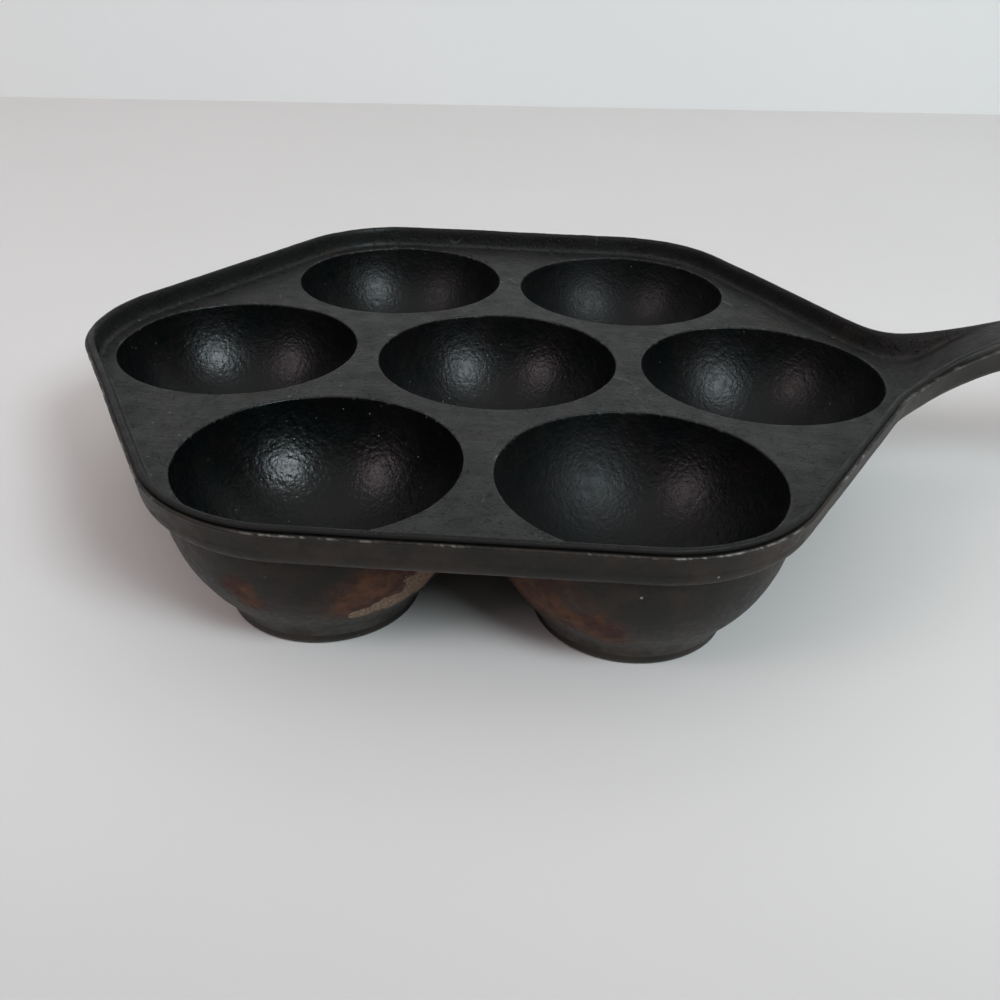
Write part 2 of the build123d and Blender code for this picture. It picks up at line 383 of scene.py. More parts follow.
def make_cup(name, finishes):
    """One cup: bowl, arris, top ring, belly, and the hollow above its foot."""
    middle = middles[name]
    bowl, bowl_rows, arris_rows = bowl_line()
    belly = belly_line()
    upper, normal = turned(bowl, middle, UP)
    row = np.repeat(np.arange(len(bowl)), CUP_SEGMENTS)
    to_top = ease(row, bowl_rows - 4, bowl_rows + arris_rows)
    upper = upper + normal * (bowl_grain(upper) * (1 - to_top) + deck_grain(upper) * to_top)[:, None]
    lower, normal = turned(belly, middle, OUT)
    lower = lower + normal * (skin_grain(lower) * ease(deck_bottom - lower[:, 2], 0, 0.6))[:, None]
    points = np.concatenate([upper, lower])
    rings = numbered(len(bowl) + len(belly), CUP_SEGMENTS)
    faces = [rings[0].tolist()[::-1]] + ring_quads(rings) + [rings[-1].tolist()]
    strip = np.repeat(np.arange(len(rings) - 1), CUP_SEGMENTS)
    finish = np.where(strip < bowl_rows + 2, 0, np.where(strip < len(bowl), 1, 2))
    finish = np.concatenate([[0], finish, [2]])
    on_arris = (row >= bowl_rows) & (row < bowl_rows + arris_rows)
    arris = on_arris * (0.4 * ease(noise(upper, 1.6, 44) + noise(upper, 0.7, 45), 0.2, 1.0))
    row = np.repeat(np.arange(len(belly)), CUP_SEGMENTS)
    # Painted highlight: a light band where the belly's hollow meets the foot, where the fillet catches the
    # light
    step_wear = ease(row, len(belly) - 11, len(belly) - 5) * 0.17
    step_wear *= ease(noise(lower, 5.0, 76) + 0.5 * noise(lower, 1.5, 77), -0.7, 0.5)
    dull_left, dull_right = DULLNESS[name]
    inside = np.zeros(len(upper))
    marks = {kind: np.concatenate([inside, values]) for kind, values in stains(lower).items()}
    marks["wear"] = np.concatenate([arris, step_wear])
    marks["dull"] = dull_left + (dull_right - dull_left) * ease(points[:, 0] - middle[0], -10, 10)
    points = points + warp(points)
    make_piece("bowl_" + name, points, faces, finishes, finish, marks, ["cup_" + name])


def make_foot(name, finish):
    """The flat foot under one cup, with its edge eased by wear."""
    line = [
        (foot_joint_radius, foot_joint), (20.05, 1.85), (19.94, 1.3), (19.8, 0.75), (19.68, 0.42),
        (19.5, 0.2), (19.3, 0.07), (foot_radius - 0.2, 0.0), (foot_radius - 1.5, 0.0), (0.4, 0.0),
    ]
    points, normal = turned(line, middles[name], OUT)
    points = points + normal * (skin_grain(points) * ease(points[:, 2], 0.1, 1.0))[:, None]
    rings = numbered(len(line), CUP_SEGMENTS)
    faces = [rings[0].tolist()] + ring_quads(rings) + [rings[-1].tolist()]
    marks = {"wear": 0.2 * (1 - ease(points[:, 2], 0.2, 1.2)), **stains(points)}
    points = points + warp(points)
    make_piece(
        "pad_" + name, points, faces, [finish], np.zeros(len(faces)), marks, ["foot_" + name]
    )


# Outline of the pan: places on the hexagon through the outer cups, each with its outward normal


def round_trip():
    """Base points and normals all the way round, starting and ending on the X axis at the handle."""
    corner_steps = int(round((ledge_apothem - ring_apothem) * pi / 6 / RIM_STEP))
    side_steps = int(round(cup_spacing / RIM_STEP))
    base, normal = [], []
    for i in range(6):
        start, end = middles[RING[i]], middles[RING[(i + 1) % 6]]
        for angle in np.linspace(0, pi / 6, corner_steps, endpoint=False):
            base.append(start)
            normal.append(level(i * pi / 3 + angle))
        for t in np.linspace(0, 1, side_steps, endpoint=False):
            base.append(start + (end - start) * t)
            normal.append(level((2 * i + 1) * pi / 6))
        for angle in np.linspace(pi / 6, pi / 3, corner_steps, endpoint=False):
            base.append(end)
            normal.append(level(i * pi / 3 + angle))
    return np.array(base), np.array(normal)


def swept(base, normal, line):
    """A line of (apothem, height) carried along the outline: its points and their normals."""
    across = section_normals(line)
    base, normal, line = base[:, None], normal[:, None], np.array(line)
    points = placed(base + normal * (line[:, :1] - ring_apothem), line[:, 1:])
    return points, placed(normal * across[:, :1], across[:, 1:])


# Deck


def filled(outer, holes, spacing, seed):
    """A flat mesh inside an outline and outside the cups' holes, with points about a spacing apart."""
    low, high = outer.min(0), outer.max(0)
    xs = np.arange(low[0], high[0], spacing)
    ys = np.arange(low[1], high[1], spacing * 0.87)
    gx, gy = np.meshgrid(xs, ys)
    gx = gx + (np.arange(len(ys)) % 2)[:, None] * spacing / 2
    inside = np.stack([gx.ravel(), gy.ravel()], 1)
    cells = np.concatenate([inside, np.full((len(inside), 1), 0.5)], 1)
    inside = inside + 0.22 * spacing * np.stack([noise(cells, spacing, seed + i) for i in range(2)], 1)
    apothem, gap = high[1], 0.6 * spacing
    keep = np.ones(len(inside), bool)
    for angle in np.arange(6) * pi / 3 + pi / 6:
        keep &= inside @ level(angle) < apothem - gap
    for corner in (middles[n] for n in RING):
        away = inside - corner
        beyond = away @ (corner / np.linalg.norm(corner)) > 0
        spread = np.abs(away @ np.array([-corner[1], corner[0]])) < (away @ corner) * tan(pi / 6)
        outside = np.linalg.norm(away, axis=1) > apothem - ring_apothem - gap
        keep &= ~(beyond & spread & outside)
    for middle in middles.values():
        keep &= np.linalg.norm(inside - middle, axis=1) > belly_radius + gap
    loops = [outer] + holes
    points = [q for loop in loops for q in loop] + list(inside[keep])
    edges, at = [], 0
    for n in map(len, loops):
        edges += [(at + i, at + (i + 1) % n) for i in range(n)]
        at += n
    made = delaunay_2d_cdt([Vector(q) for q in points], edges, [], 1, 1e-5)
    flat = np.array([(v.x, v.y) for v in made[0]])
    loop_of = np.full(len(flat), -1)
    loop_of[:at] = np.repeat(np.arange(len(loops)), [len(loop) for loop in loops])
    in_cup = [min(loop_of[f]) == max(loop_of[f]) and loop_of[f[0]] > 0 for f in made[2]]
    return flat, [list(f) for f, gone in zip(made[2], in_cup) if not gone]


def deck_edge_line():
    """The deck's outer edge, from its top down round to its underside."""
    turn = np.radians(np.linspace(0, 90 - degrees(wall_draft), 9)) + wall_draft
    low = deck_bottom + deck_round
    side = deck_apothem - (deck_top - low) * tan(wall_draft)
    centre = side - deck_round * cos(wall_draft)
    rounded = [(centre + deck_round * cos(a), low - deck_round * (sin(a) - sin(wall_draft))) for a in turn]
    scale = (low - deck_bottom) / (low - rounded[-1][1])
    rounded = [(r, low - (low - z) * scale) for r, z in rounded]
    return [(deck_apothem, deck_top), (deck_apothem - 0.05, deck_top - 0.3)] + rounded


def make_deck(top_finish, outer_finish):
    """The deck: a dressed top between the cups, a rounded edge, and a plain underside."""
    base, normal = round_trip()
    line = deck_edge_line()
    rows = len(line)
    holes = [middle + cup_directions * belly_radius for middle in middles.values()]
    top_flat, top_faces = filled(base + normal * (deck_apothem - ring_apothem), holes, DECK_STEP, 50)
    under_flat, under_faces = filled(base + normal * (line[-1][0] - ring_apothem), holes, UNDERSIDE_STEP, 60)
    top = np.column_stack([top_flat, np.full(len(top_flat), deck_top)])
    top[:, 2] += deck_grain(top)
    bottom = np.column_stack([under_flat, np.full(len(under_flat), deck_bottom)])
    side, across = swept(base, normal, line)
    above_underside = np.tile(1 - ease(np.arange(rows), rows - 4, rows - 1), len(base))
    side = side + across * skin_grain(side)[:, None] * above_underside[:, None]
    points = np.concatenate([top, bottom, side])
    faces = top_faces + [[i + len(top) for i in f][::-1] for f in under_faces]
    faces += ring_quads(numbered(len(base), rows, len(top) + len(bottom)).T)
    for number in range(len(holes)):
        edge = np.arange(CUP_SEGMENTS) + len(base) + number * CUP_SEGMENTS
        faces += ring_quads(np.stack([edge, edge + len(top)]))
    finish = [0] * len(top_faces) + [1] * (len(faces) - len(top_faces))
    marks = {"wear": np.zeros(len(points)), **stains(points, points[:, 2] < deck_top - 0.2)}
    points = points + warp(points)
    piece = make_piece(
        "deck_casting", points, faces, [top_finish, outer_finish], finish, marks, ["deck_plate"]
    )
    tidy_mesh(piece.data, 0.02)


# Rim: the same section runs on along the handle's sides

# Inner face: inset from the ledge, and height as a share of the rise from floor to crest
INNER_FACE = [
    (4.0, 0.0), (3.75, 0.005), (3.5, 0.018), (3.25, 0.042), (3.02, 0.085), (2.85, 0.155), (2.73, 0.25),
    (2.64, 0.37), (2.57, 0.50), (2.49, 0.63), (2.41, 0.75), (2.3, 0.85), (2.14, 0.925), (1.95, 0.97),
    (1.78, 0.992), (1.6, 1.0),
]
# Outer side of the crest: inset, and height as a share of the rise from groove to crest
OUTER_CREST = [(1.42, 0.985), (1.22, 0.93), (1.04, 0.82), (0.9, 0.65), (0.8, 0.42), (0.74, 0.2), (0.72, 0.0)]
# Groove and ledge: inset, and height from the parting line
LEDGE = [
    (0.84, 0.2), (0.98, 0.12), (0.98, 0.0), (0.84, -0.06), (0.6, -0.05), (0.34, -0.06), (0.14, -0.14),
    (0.03, -0.28), (0.0, -0.46), (0.04, -0.64), (0.12, -0.82),
]
GROOVE_LIP = 0.3
# Rows of the section: the first past the crest, the first undressed one, the groove, and the ledge's edge
CREST_ROW = len(INNER_FACE)
UNDRESSED_ROW = CREST_ROW + 3
GROOVE_ROW = CREST_ROW + len(OUTER_CREST)
LEDGE_ROW = GROOVE_ROW + 6


def flank_inset(below):
    """The outer wall's inset at a depth below the parting line, a little steeper than the draft."""
    inset, height = LEDGE[-1]
    return inset + (below + height) * tan(wall_draft) * 0.94


def parting_height(x):
    """The parting line's height: level round the rim, then rising with the handle."""
    x = np.asarray(x, float)
    lift_run = lift_radius * sin(steep)
    curve = np.sqrt(lift_radius**2 - np.clip(x - lift_start, 0, lift_run) ** 2)
    lifted = deck_top + parting_rise + lift_radius - curve
    straight_start = lift_start + lift_run
    straight = lifted + np.clip(x - straight_start, 0, lift_end - straight_start) * tan(steep)
    centre_x = lift_end + ease_radius * sin(steep)
    ease_end = centre_x - ease_radius * sin(shallow)
    eased = np.sqrt(ease_radius**2 - (np.clip(x, lift_end, ease_end) - centre_x) ** 2)
    return straight + (eased - ease_radius * cos(steep)) + np.clip(x - ease_end, 0, None) * tan(shallow)


def crest_rise(x):
    """How far the crest stands above the parting line."""
    return crest_at_rim + (crest_at_grip - crest_at_rim) * ease(x, 91, 116)


def rim_line():
    """The rim's closed section as (apothem, height), from just under the deck's top and back to its edge."""
    floor, crest = deck_top - sunk_edge, deck_top + rim_rise
    parting = deck_top + parting_rise
    groove = parting + GROOVE_LIP
    line = [(ledge_apothem - u, floor + (crest - floor) * h) for u, h in INNER_FACE]
    line += [(ledge_apothem - u, groove + (crest - groove) * h) for u, h in OUTER_CREST]
    line += [(ledge_apothem - u, parting + z) for u, z in LEDGE]
    line += [(ledge_apothem - flank_inset(b), parting - b) for b in np.linspace(1.1, parting_rise, 9)[:-1]]
    return line + [(deck_apothem, deck_top)]


def shoulder_place(apothem):
    """Where the handle's shoulder leaves the back right side, at an apothem."""
    meet = neck_half + shoulder_radius * (1 - cos(pi / 3))
    along = (meet - ledge_apothem * sin(pi / 6)) / cos(pi / 6)
    return level(pi / 6) * apothem + level(pi / 6 + pi / 2) * along


def make_rim(deck_finish, outer_finish):
    """The raised rim round the pan, open where the handle leaves it."""
    base, normal = round_trip()
    out = base + normal * (ledge_apothem - ring_apothem)
    start = shoulder_place(ledge_apothem)
    keep = ~((out[:, 0] > start[0] - 0.02) & (np.abs(out[:, 1]) < start[1] - 0.02))
    end, facing, mirror = shoulder_place(ring_apothem), level(pi / 6), np.array([1, -1])
    base = np.concatenate([[end], base[keep], [end * mirror]])
    normal = np.concatenate([[facing], normal[keep], [facing * mirror]])
    line = rim_line()
    rows = len(line)
    points, across = swept(base, normal, line)
    row = np.tile(np.arange(rows), len(base))
    turn_over = ease(row, CREST_ROW - 5, CREST_ROW)
    grain = deck_grain(points) * (1 - turn_over) + skin_grain(points) * turn_over
    ripple = 0.05 * noise(points, 4.0, 70) * ((row > CREST_ROW) & (row < rows - 7))
    pit = -1.0 * near(points, PIT_PLACE, 3.4) * (row < CREST_ROW + 2)
    points = points + across * (grain * ease(row, 1, 5) + ripple + pit)[:, None]
    strip = numbered(len(base), rows)
    faces = open_quads(strip).reshape(-1, 4).tolist()
    faces += np.stack([strip[:-1, -1], strip[1:, -1], strip[1:, 0], strip[:-1, 0]], -1).tolist()
    faces += [strip[0].tolist()[::-1], strip[-1].tolist()]
    finish = np.tile(np.where(np.arange(rows - 1) < UNDRESSED_ROW, 0, 1), len(base) - 1).tolist()
    finish += [1] * (len(faces) - len(finish))
    # Painted highlight: broken bright glints along the ledge's edge, where it catches the light
    ledge_glints = ease(noise(points, 2.6, 71) + noise(points, 0.9, 72), -0.1, 0.6)
    ledge_glints = ledge_glints * ease(noise(points, 14.0, 75), -0.5, 0.3)
    # Painted shade in the groove under the crest, and dark dirt in the pit by the left cup
    groove = (row >= GROOVE_ROW - 2) & (row <= GROOVE_ROW + 4)
    marks = {
        "wear": ((row >= LEDGE_ROW) & (row < LEDGE_ROW + 2)) * ledge_glints,
        "rust": rust_marks(points) * (row > CREST_ROW + 9),
        "grime": np.clip(groove + 1.6 * near(points, PIT_PLACE, 3.6), 0, 1),
        # Painted shade: the rim's inner face and crest are darkened on the side that faces away from the
        # light
        "soot": 0.8 * ease(row, 4, 9) * (1 - ease(row, CREST_ROW + 4, CREST_ROW + 9)),
    }
    points = points + warp(points)
    make_piece(
        "rim_casting", points, faces, [deck_finish, outer_finish], finish, marks, ["rim"]
    )


# Handle


def floor_height(x):
    """The ramp from the deck up into the handle, before it meets the crest."""
    x = np.asarray(x, float)
    reach = ramp_radius * sin(ramp_angle)
    rounded = ramp_radius - np.sqrt(ramp_radius**2 - np.clip(x - ramp_start, 0, reach) ** 2)
    return deck_top + rounded + np.clip(x - ramp_start - reach, 0, None) * tan(ramp_angle)


def top_height(x, across):
    """The handle's top between its two edges; across is 0 in the middle and 1 at the edge."""
    crown = parting_height(x) + crest_rise(x) + 0.15 * (1 - across**2) * ease(x, 112, 130)
    hidden = 0.25 * (1 - ease(x, ramp_start - 0.1, ramp_start + 1.4))
    return soft_min(crown, floor_height(x), ramp_blend) - hidden


def rail():
    """The handle's outline at its ledge, from the rim to the tip, with outward normals."""
    centre = shoulder_place(ledge_apothem) + level(pi / 6) * shoulder_radius
    end = np.array([handle_end - end_radius, 0.0])
    across = end - centre
    lean = asin((shoulder_radius + end_radius) / np.linalg.norm(across)) + atan(across[1] / across[0])
    side = level(lean + pi / 2)
    angles = np.linspace(pi / 6 - pi, lean - pi / 2, 76)
    places = [centre + shoulder_radius * level(a) for a in angles]
    normals = [-level(a) for a in angles]
    for t in np.linspace(0, 1, 130)[1:]:
        places.append(places[len(angles) - 1] * (1 - t) + (end + end_radius * side) * t)
        normals.append(side)
    for a in np.linspace(lean + pi / 2, 0, 48)[1:]:
        places.append(end + end_radius * level(a))
        normals.append(level(a))
    return np.array(places), np.array(normals)


def skin_points(place, normal):
    """One side's section at a place on the rail: inner face, crest, groove, ledge, flank, underside."""

    def parting(inset):
        return float(parting_height(place[0] - normal[0] * inset))

    def crest(inset):
        x = place[0] - normal[0] * inset
        return float(parting_height(x) + crest_rise(x))

    widen = 1 + 1.1 * float(ease(place[0], 93, 101) * (1 - ease(place[0], 104, 114)))
    widest = crest_inset + (crease_inset - crest_inset) * widen
    floor = float(top_height(place[0] - normal[0] * widest, 1.0))
    found = []
    for u, h in INNER_FACE:
        u = crest_inset + (u - crest_inset) * widen
        low = min(floor, crest(u))
        found.append((u, low + (crest(u) - low) * h))
    for u, h in OUTER_CREST:
        groove = parting(u) + GROOVE_LIP
        found.append((u, groove + (crest(u) - groove) * h))
    found += [(u, parting(u) + z) for u, z in LEDGE]
    for below in np.linspace(1.1, flank_depth, 7):
        u = flank_inset(below)
        found.append((u, parting(u) - below))
    round_radius = grip_depth - flank_depth
    for a in np.radians(np.linspace(12, 90, 8)):
        u = flank_inset(flank_depth) + round_radius * (1 - cos(a))
        found.append((u, parting(u) - flank_depth - round_radius * sin(a)))
    found.append((crease_inset, parting(crease_inset) - grip_depth))
    return [(place[0] - normal[0] * u, place[1] - normal[1] * u, z) for u, z in found]


def handle_body():
    """The whole handle as one mesh under work, with each face's finish in a layer."""
    skin = np.array([skin_points(place, normal) for place, normal in zip(*rail())])
    joined = int(np.argmax(skin[:, 0, 0] > ramp_start + 0.1))
    across = np.linspace(1, -1, 26)[1:-1]
    top, under = [], []
    for station in skin[joined:]:
        x, y = station[0, :2]
        top.append([(x, y * t, float(top_height(x, abs(t)))) for t in across])
        x, y = station[-1, :2]
        low = float(parting_height(x)) - grip_depth
        under.append([(x, y * t, low - 0.25 * (1 - t * t) * ease(x, 100, 120)) for t in across])
    blocks = [skin, skin * np.array([1, -1, 1]), np.array(top), np.array(under)]
    points = np.concatenate([block.reshape(-1, 3) for block in blocks])
    firsts = np.cumsum([0] + [block.size // 3 for block in blocks])
    left, right, top, under = [numbered(*block.shape[:2], first) for block, first in zip(blocks, firsts)]
    upper = np.concatenate([left[joined:, :1], top, right[joined:, :1]], 1)
    lower = np.concatenate([left[joined:, -1:], under, right[joined:, -1:]], 1)
    sides = np.where(np.arange(skin.shape[1] - 1) < UNDRESSED_ROW, 0, 1)
    faces, finish = [], []
    for block, order, kind in ((left, 1, sides), (right, -1, sides), (upper, -1, 0), (lower, 1, 1)):
        quads = open_quads(block)
        finish += np.broadcast_to(kind, quads.shape[:2]).ravel().tolist()
        faces += quads.reshape(-1, 4)[:, ::order].tolist()
    for side in (left, right):
        block = side[: joined + 1]
        faces += np.stack([block[:-1, 0], block[1:, 0], block[1:, -1], block[:-1, -1]], -1).tolist()
        faces.append(block[0].tolist())
    faces.append(upper[0].tolist() + lower[0].tolist()[::-1])
    finish += [1] * (len(faces) - len(finish))
    mesh = bpy.data.meshes.new("handle_whole")
    mesh.from_pydata(points.tolist(), [], faces)
    work = bmesh.new()
    work.from_mesh(mesh)
    bpy.data.meshes.remove(mesh)
    layer = work.faces.layers.int.new("finish")
    work.faces.ensure_lookup_table()
    for face, value in zip(work.faces, finish):
        face[layer] = int(value)
    return work


def make_handle(top_finish, outer_finish):
    """The handle's three lengths, from one mesh cut across at their joints."""
    work = handle_body()
    bmesh.ops.remove_doubles(work, verts=work.verts, dist=1e-4)
    bmesh.ops.recalc_face_normals(work, faces=work.faces)
    work.verts.ensure_lookup_table()
    work.normal_update()
    where = np.array([v.co for v in work.verts])
    push = skin_grain(where) * ease(where[:, 0], ramp_start + 0.3, ramp_start + 4)
    where = where + np.array([v.normal for v in work.verts]) * push[:, None]
    for vertex, place in zip(work.verts, where + warp(where)):
        vertex.co = place
    lengths = {"root": (None, grip_start), "grip": (grip_start, eye_start), "eye": (eye_start, None)}
    for name, (low, high) in lengths.items():
        handle_length(work, low, high, name, [top_finish, outer_finish])
    work.free()


def handle_length(whole, low, high, name, finishes):
    """Cuts one length out of the whole handle and closes its ends."""
    work = whole.copy()
    for x, clear_inner in ((low, True), (high, False)):
        if x is None:
            continue
        cut = bmesh.ops.bisect_plane(
            work, geom=work.verts[:] + work.edges[:] + work.faces[:], dist=1e-5, plane_co=(x, 0, 0),
            plane_no=(1, 0, 0), clear_inner=clear_inner, clear_outer=not clear_inner,
        )
        edges = [g for g in cut["geom_cut"] if isinstance(g, bmesh.types.BMEdge)]
        bmesh.ops.holes_fill(work, edges=edges, sides=0)
    if name == "eye":
        drill(work)
    bmesh.ops.recalc_face_normals(work, faces=work.faces)
    layer = work.faces.layers.int["finish"]
    work.verts.ensure_lookup_table()
    work.faces.ensure_lookup_table()
    work.verts.index_update()
    points = np.array([v.co for v in work.verts])
    faces = [[v.index for v in f.verts] for f in work.faces]
    finish = [f[layer] for f in work.faces]
    work.free()
    outside = np.zeros(len(points), bool)
    for face, kind in zip(faces, finish):
        outside[face] |= kind == 1
    below = parting_height(points[:, 0]) - points[:, 2]
    # Painted highlight: broken bright glints along the ledge, where it catches the light
    on_ledge = outside & (below > 0.02) & (below < 0.35)
    # Painted shade: a dark band in the groove just above the parting line
    grime = outside * ease(-below, -0.02, 0.1) * (1 - ease(-below, 0.2, 0.32))
    # Painted shade on the inner faces near the root, the shaded slope up to the crest
    soot = 0.8 * ease(points[:, 2] - floor_height(points[:, 0]), 0.4, 1.6) * (below < 0)
    marks = {
        "wear": on_ledge * ease(noise(points, 2.6, 73) + noise(points, 0.9, 74), -0.3, 0.7) * 0.42,
        "grime": grime * 0.8,
        "rust": rust_marks(points) * (below > 0.5),
        "soot": soot * (1 - ease(points[:, 0], 104, 118)) * ease(np.abs(points[:, 1]), 3, 5),
    }
    make_piece(
        "handle_cast_" + name, points, faces, finishes, finish, marks, ["handle_" + name]
    )


def linked_copy(name, work):
    """An object in the scene with a copy of a mesh under work."""
    mesh = bpy.data.meshes.new(name)
    work.to_mesh(mesh)
    return linked(name, mesh)


def drill(work):
    """Cuts the hanging hole, with eased edges, square to the handle's end."""
    end_x = handle_end - end_radius
    half = (crest_at_grip + grip_depth) / 2
    middle = Vector((end_x, 0, float(parting_height(end_x)) + crest_at_grip - half))
    upper = [
        (hole_radius, half - hole_ease - 0.2), (hole_radius + 0.3, half - 0.3),
        (hole_radius + 0.9, half + 0.25), (9, half + 1.2), (9, 12),
    ]
    turn = Matrix.Rotation(-shallow, 4, "Y")
    bore = bmesh.new()
    rings = []
    for r, z in [(r, -z) for r, z in reversed(upper)] + upper:
        ring = []
        for i in range(HOLE_SEGMENTS):
            x, y = r * level(2 * pi * i / HOLE_SEGMENTS)
            ring.append(bore.verts.new(turn @ Vector((x, y, z)) + middle))
        rings.append(ring)
    for a, b in zip(rings, rings[1:]):
        for i in range(HOLE_SEGMENTS):
            j = (i + 1) % HOLE_SEGMENTS
            bore.faces.new((a[i], a[j], b[j], b[i]))
    bore.faces.new(rings[0][::-1])
    bore.faces.new(rings[-1])
    bmesh.ops.recalc_face_normals(bore, faces=bore.faces)
    body, tool = linked_copy("eye_body", work), linked_copy("eye_bore", bore)
    bore.free()
    cut = body.modifiers.new("bore", "BOOLEAN")
    cut.object = tool
    cut.operation = "DIFFERENCE"
    cut.solver = "EXACT"
    bpy.context.view_layer.update()
    made = body.evaluated_get(bpy.context.evaluated_depsgraph_get()).to_mesh()
    work.clear()
    work.from_mesh(made)
    for thing in (body, tool):
        bpy.data.objects.remove(thing)


# Materials


class Nodes:
    """Adds shader nodes to one tree, from its object's coordinates or others that are named."""

    def __init__(self, tree, coordinates="Object"):
        self.tree = tree
        self.coords = self.add("TexCoord").outputs[coordinates]

    def add(self, kind, inputs=(), **settings):
        """Adds a shader node, sets its options, and links or fills its inputs."""
        made = self.tree.nodes.new("ShaderNode" + kind)
        for key, value in settings.items():
            setattr(made, key, value)
        for key, value in dict(inputs).items():
            if isinstance(value, bpy.types.NodeSocket):
                self.tree.links.new(value, made.inputs[key])
            else:
                made.inputs[key].default_value = value
        return made

    def grains(self, size_mm, detail=3.0, roughness=0.55, distortion=0.0, stretch=None):
        """Noise with features of a size in millimetres, longer along an axis whose stretch is below 1."""
        coords = self.coords
        if stretch:
            coords = self.add("Mapping", {"Vector": coords, "Scale": stretch}).outputs["Vector"]
        inputs = {"Vector": coords, "Scale": 1 / TO_METRES / size_mm, "Detail": detail}
        inputs.update({"Roughness": roughness, "Distortion": distortion})
        return self.add("TexNoise", inputs).outputs["Fac"]

    def cells(self, size_mm, low, high, feature="F1"):
        """A mask round scattered points a size in millimetres apart, by the distance from them."""
        inputs = {"Vector": self.coords, "Scale": 1 / TO_METRES / size_mm, "Randomness": 1.0}
        return self.between(self.add("TexVoronoi", inputs, feature=feature).outputs["Distance"], low, high)

    def between(self, value, low, high):
        """A mask that rises smoothly from 0 to 1 as a value goes from low to high."""
        inputs = {"Value": value, "From Min": low, "From Max": high}
        return self.add("MapRange", inputs, interpolation_type="SMOOTHSTEP").outputs["Result"]

    def scaled(self, value, low, high):
        """A mask from 0 to 1 spread over a range."""
        return self.add("MapRange", {"Value": value, "To Min": low, "To Max": high}).outputs["Result"]

    def mixed(self, factor, a, b):
        """Two colours mixed by a factor."""
        a, b = [(*colour, 1.0) if isinstance(colour, tuple) else colour for colour in (a, b)]
        return self.add("Mix", {0: factor, 6: a, 7: b}, data_type="RGBA").outputs[2]

    def maths(self, operation, a, b):
        """A sum, product or other maths on two values."""
        return self.add("Math", {0: a, 1: b}, operation=operation).outputs[0]

    def times(self, a, b):
        """The product of two values."""
        return self.maths("MULTIPLY", a, b)

    def mark(self, name):
        """A mark that the mesh carries, such as wear."""
        return self.add("Attribute", attribute_name=name).outputs["Fac"]


class Iron(Nodes):
    """An iron material, whose base colour is laid down in layers."""

    def __init__(self, name, specular):
        self.material = bpy.data.materials.new(name)
        self.material.use_nodes = True
        super().__init__(self.material.node_tree)
        self.sockets = self.tree.nodes["Principled BSDF"].inputs
        self.sockets["Specular IOR Level"].default_value = specular

    def mottle(self, size_mm, dark, light):
        """Starts the base as broad patches between two tones."""
        self.base = self.mixed(self.between(self.grains(size_mm, 4.0, 0.6), 0.35, 0.68), dark, light)

    def tint(self, mask, colour, share=None):
        """Lays a colour over the base by a mask, or by a share of it."""
        self.base = self.mixed(self.times(mask, share) if share else mask, self.base, colour)

    def stain(self, **colours):
        """Lays a colour over the base by each of the mesh's marks that is named."""
        for name, colour in colours.items():
            self.tint(self.mark(name), colour)

    def finished(self, rough, bumps):
        """The material, given its roughness, and bumps of height, distance in millimetres and strength."""
        normal = None
        for height, distance_mm, strength in bumps:
            inputs = {"Height": height, "Distance": distance_mm * TO_METRES, "Strength": strength}
            if normal is not None:
                inputs["Normal"] = normal
            normal = self.add("Bump", inputs).outputs["Normal"]
        for name, socket in (("Base Color", self.base), ("Roughness", rough), ("Normal", normal)):
            self.tree.links.new(socket, self.sockets[name])
        return self.material


def bowl_material():
    """Near-black oily seasoning over pebbly cast skin, a few pale specks, and painted teal reflection."""
    iron = Iron("bowl_iron", 0.225)
    # Painted reflection: the teal-black tone stands in for sky mirrored in the oil, in broad patches among
    # warm black
    sheen_patches = iron.between(iron.grains(9.0), 0.35, 0.7)
    iron.base = iron.mixed(sheen_patches, (0.0008, 0.0018, 0.0019), (0.0030, 0.0022, 0.0021))
    dry = iron.between(iron.grains(3.0, 4.0), 0.62, 0.8)
    iron.tint(dry, (0.005, 0.0048, 0.0046))
    specks = iron.times(iron.cells(2.2, 0.10, 0.04), iron.between(iron.grains(4.0, 2.0), 0.56, 0.64))
    iron.tint(specks, (0.16, 0.16, 0.15))
    iron.stain(wear=(0.09, 0.09, 0.085))
    rough = iron.scaled(iron.between(iron.grains(2.2, 4.0), 0.35, 0.7), 0.25, 0.34)
    rough = iron.maths("ADD", rough, iron.times(iron.mark("dull"), 0.20))
    pebbles = iron.grains(0.85, 1.0, 0.5)
    domes = iron.cells(0.95, 0.42, 0.05, "SMOOTH_F1")
    return iron.finished(rough, [(pebbles, 0.13, 0.6), (domes, 0.06, 0.5)])


